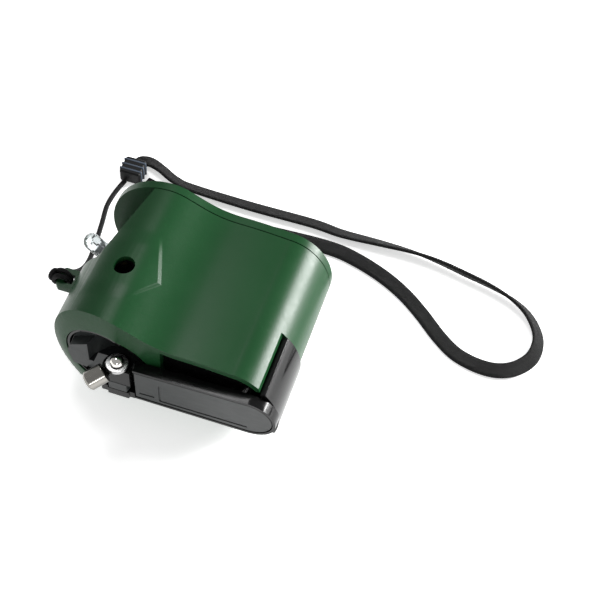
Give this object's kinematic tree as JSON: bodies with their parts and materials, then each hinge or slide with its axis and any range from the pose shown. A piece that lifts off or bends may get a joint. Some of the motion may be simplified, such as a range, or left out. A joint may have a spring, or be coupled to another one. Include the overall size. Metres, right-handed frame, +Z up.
{
  "type": "hand-crank pocket charger",
  "caption": "Pocket hand-crank electric charger with a folding crank, a small torch LED, an output socket and a wrist strap.",
  "frame": {"origin": "on the flat base, under the middle of the body", "axes": "+X from the crank hub to the grip end, -Y out of the crank face, +Z up"},
  "size_m": [0.1446, 0.1006, 0.042],
  "materials": {
    "green_plastic": "satin green ABS with a fine grain",
    "black_plastic": "glossy black",
    "grey_plastic": "satin dark grey",
    "gear_plastic": "natural acetal",
    "circuit_board": "solder mask",
    "chip_plastic": "moulded package",
    "clear_plastic": "clear epoxy",
    "gunmetal": "dark polished metal",
    "chrome": "polished",
    "steel": "plain steel",
    "brass": "plain brass",
    "copper": "enamelled copper wire",
    "magnet": "sintered magnet",
    "cord_fabric": "woven black polyester",
    "ferrule_plastic": "satin dark"
  },
  "bodies": {
    "housing": {"housing_shell": "green_plastic", "back_cover": "green_plastic", "front_frame": "black_plastic", "generator_cap": "black_plastic", "output_socket": "black_plastic", "circuit_board": "circuit_board", "bridge_rectifier": "chip_plastic", "voltage_regulator": "chip_plastic", "led_lens": "clear_plastic", "capacitor": "gunmetal", "cover_screw_1": "steel", "cover_screw_2": "steel", "cover_screw_3": "steel", "cover_screw_4": "steel", "idler_axle": "steel", "gearbox_plate": "steel", "generator_can": "steel", "led_lead_1": "steel", "led_lead_2": "steel", "gearbox_post_1": "brass", "gearbox_post_2": "brass", "gearbox_post_3": "brass", "socket_contact": "brass", "stator_winding": "copper", "inductor": "copper", "lanyard_hitch": "cord_fabric", "lanyard_cord": "cord_fabric", "lanyard_webbing": "cord_fabric", "lanyard_ferrule": "ferrule_plastic"},
    "crank": {"crank_hub": "grey_plastic", "crank_shaft": "steel", "shaft_clip": "steel", "main_gear": "gear_plastic"},
    "arm": {"crank_arm": "black_plastic", "arm_cover": "grey_plastic", "hinge_knuckle": "black_plastic", "hinge_barrel": "gunmetal", "hinge_collar": "steel", "hinge_pin": "chrome", "grip_axle": "steel"},
    "grip": {"grip": "black_plastic"},
    "idler": {"idler_gear": "gear_plastic", "idler_pinion": "gear_plastic"},
    "rotor": {"rotor_magnet": "magnet", "rotor_shaft": "steel", "generator_pinion": "brass"}
  },
  "joints": [
    {"name": "crank_spin", "type": "hinge", "parent": "housing", "child": "crank", "pos_m": [-0.0154, -0.02, 0.0212], "axis": [0, 1, 0], "continuous": true},
    {"name": "arm_fold", "type": "hinge", "parent": "crank", "child": "arm", "pos_m": [-0.011, -0.0282, 0.0212], "axis": [0, 0, -1], "range_deg": [0, 155]},
    {"name": "grip_spin", "type": "hinge", "parent": "arm", "child": "grip", "pos_m": [0.032, -0.02, 0.0214], "axis": [0, 1, 0], "continuous": true},
    {"name": "idler_spin", "type": "hinge", "parent": "housing", "child": "idler", "pos_m": [0.00032, -0.012, 0.01242], "axis": [0, 1, 0], "continuous": true},
    {"name": "rotor_spin", "type": "hinge", "parent": "housing", "child": "rotor", "pos_m": [0.0085, 0, 0.0205], "axis": [0, 1, 0], "continuous": true}
  ],
  "couplings": [
    {"joint": "idler_spin", "follows": "crank_spin", "ratio": -4},
    {"joint": "rotor_spin", "follows": "crank_spin", "ratio": 14.4}
  ]
}
